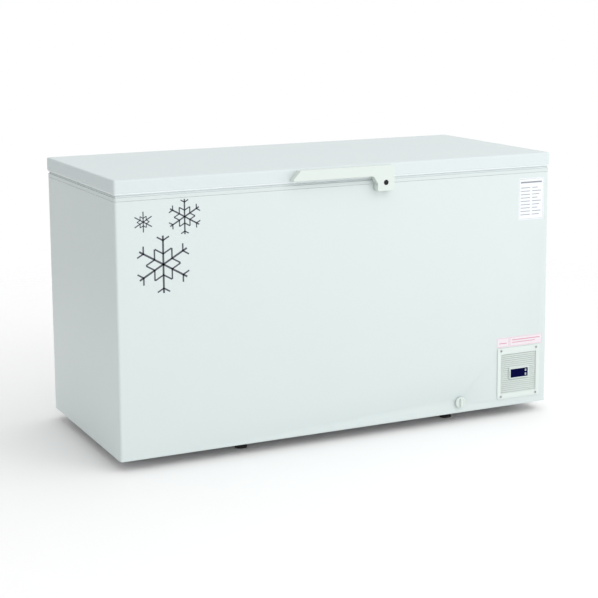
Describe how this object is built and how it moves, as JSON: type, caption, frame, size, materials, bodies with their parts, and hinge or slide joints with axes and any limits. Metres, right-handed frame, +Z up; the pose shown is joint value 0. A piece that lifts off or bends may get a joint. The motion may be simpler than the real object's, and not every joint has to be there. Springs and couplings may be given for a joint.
{
  "type": "ultra-low-temperature chest freezer",
  "caption": "White low laboratory chest freezer with a hinged insulated lid, keyed front handle, louvred machine grille with a small display, drain plug and a stepped tub.",
  "frame": {"origin": "centre of the bounding box in plan, on the floor under the feet", "axes": "+X to the machine end with the grille, +Y to the hinges, +Z up; the handle faces -Y"},
  "size_m": [1.565, 0.746, 0.907],
  "materials": {
    "white_steel": "satin",
    "galvanised": "satin",
    "rigid_foam": "matte",
    "liner_metal": "satin",
    "band_metal": "satin",
    "white_plastic": "gloss",
    "gasket_rubber": "matte",
    "handle_plastic": "satin",
    "grille_plastic": "satin",
    "window_navy": "gloss",
    "key_grey": "satin",
    "black_enamel": "satin",
    "black_plastic": "matte",
    "black_rubber": "matte",
    "copper": "satin",
    "steel": "satin",
    "screw_steel": "satin"
  },
  "bodies": {
    "cabinet": {"cabinet_wrap": "white_steel", "rear_panel": "white_steel", "base_plate": "galvanised", "machine_partition": "galvanised", "fan_bracket": "galvanised", "base_rails": "galvanised", "foam_core": "rigid_foam", "inner_liner": "liner_metal", "evaporator_band": "band_metal", "condenser": "band_metal", "rim_collar": "white_plastic", "controller_case": "white_plastic", "drain_tube": "white_plastic", "front_grille": "grille_plastic", "drain_socket": "grille_plastic", "controller_window": "window_navy", "compressors": "black_enamel", "fan_shroud": "black_enamel", "fan_motor": "black_enamel", "terminal_boxes": "black_plastic", "cord_gland": "black_plastic", "compressor_mounts": "black_rubber", "foot_pads": "black_rubber", "suction_line": "copper", "discharge_line": "copper", "filter_drier": "copper", "hinge_cabinet_brackets": "steel", "hinge_pins": "steel", "lock_keeper": "steel", "foot_studs": "steel", "grille_screws": "screw_steel", "hinge_cabinet_screws": "screw_steel"},
    "lid": {"lid_skin": "white_steel", "lid_liner": "white_plastic", "lid_foam": "rigid_foam", "lid_gasket": "gasket_rubber", "lid_handle": "handle_plastic", "handle_screws": "screw_steel", "hinge_lid_brackets": "steel", "hinge_lid_screws": "screw_steel"},
    "lock": {"lock_cylinder": "black_enamel", "lock_cam": "steel", "lock_nut": "steel"},
    "drain_plug": {"drain_plug": "grille_plastic"},
    "fan": {"fan_rotor": "black_plastic"},
    "key_lower": {"controller_key_lower": "key_grey"},
    "key_upper": {"controller_key_upper": "key_grey"}
  },
  "joints": [
    {"name": "lid_hinge", "type": "hinge", "parent": "cabinet", "child": "lid", "pos_m": [0, 0.361, 0.872], "axis": [-1, 0, 0], "range_deg": [0, 80]},
    {"name": "lock_turn", "type": "hinge", "parent": "lid", "child": "lock", "pos_m": [0.13, -0.36, 0.847], "axis": [0, -1, 0], "range_deg": [0, 90]},
    {"name": "drain_pull", "type": "slide", "parent": "cabinet", "child": "drain_plug", "axis": [0, -1, 0], "range_m": [0, 0.04]},
    {"name": "fan_spin", "type": "hinge", "parent": "cabinet", "child": "fan", "pos_m": [0.666, -0.23, 0.1495], "axis": [0, 1, 0], "continuous": true},
    {"name": "key_lower_press", "type": "slide", "parent": "cabinet", "child": "key_lower", "axis": [0, 1, 0], "range_m": [0, 0.0006], "stiffness_N_per_m": 1000, "springref_m": -0.0003},
    {"name": "key_upper_press", "type": "slide", "parent": "cabinet", "child": "key_upper", "axis": [0, 1, 0], "range_m": [0, 0.0006], "stiffness_N_per_m": 1000, "springref_m": -0.0003}
  ]
}
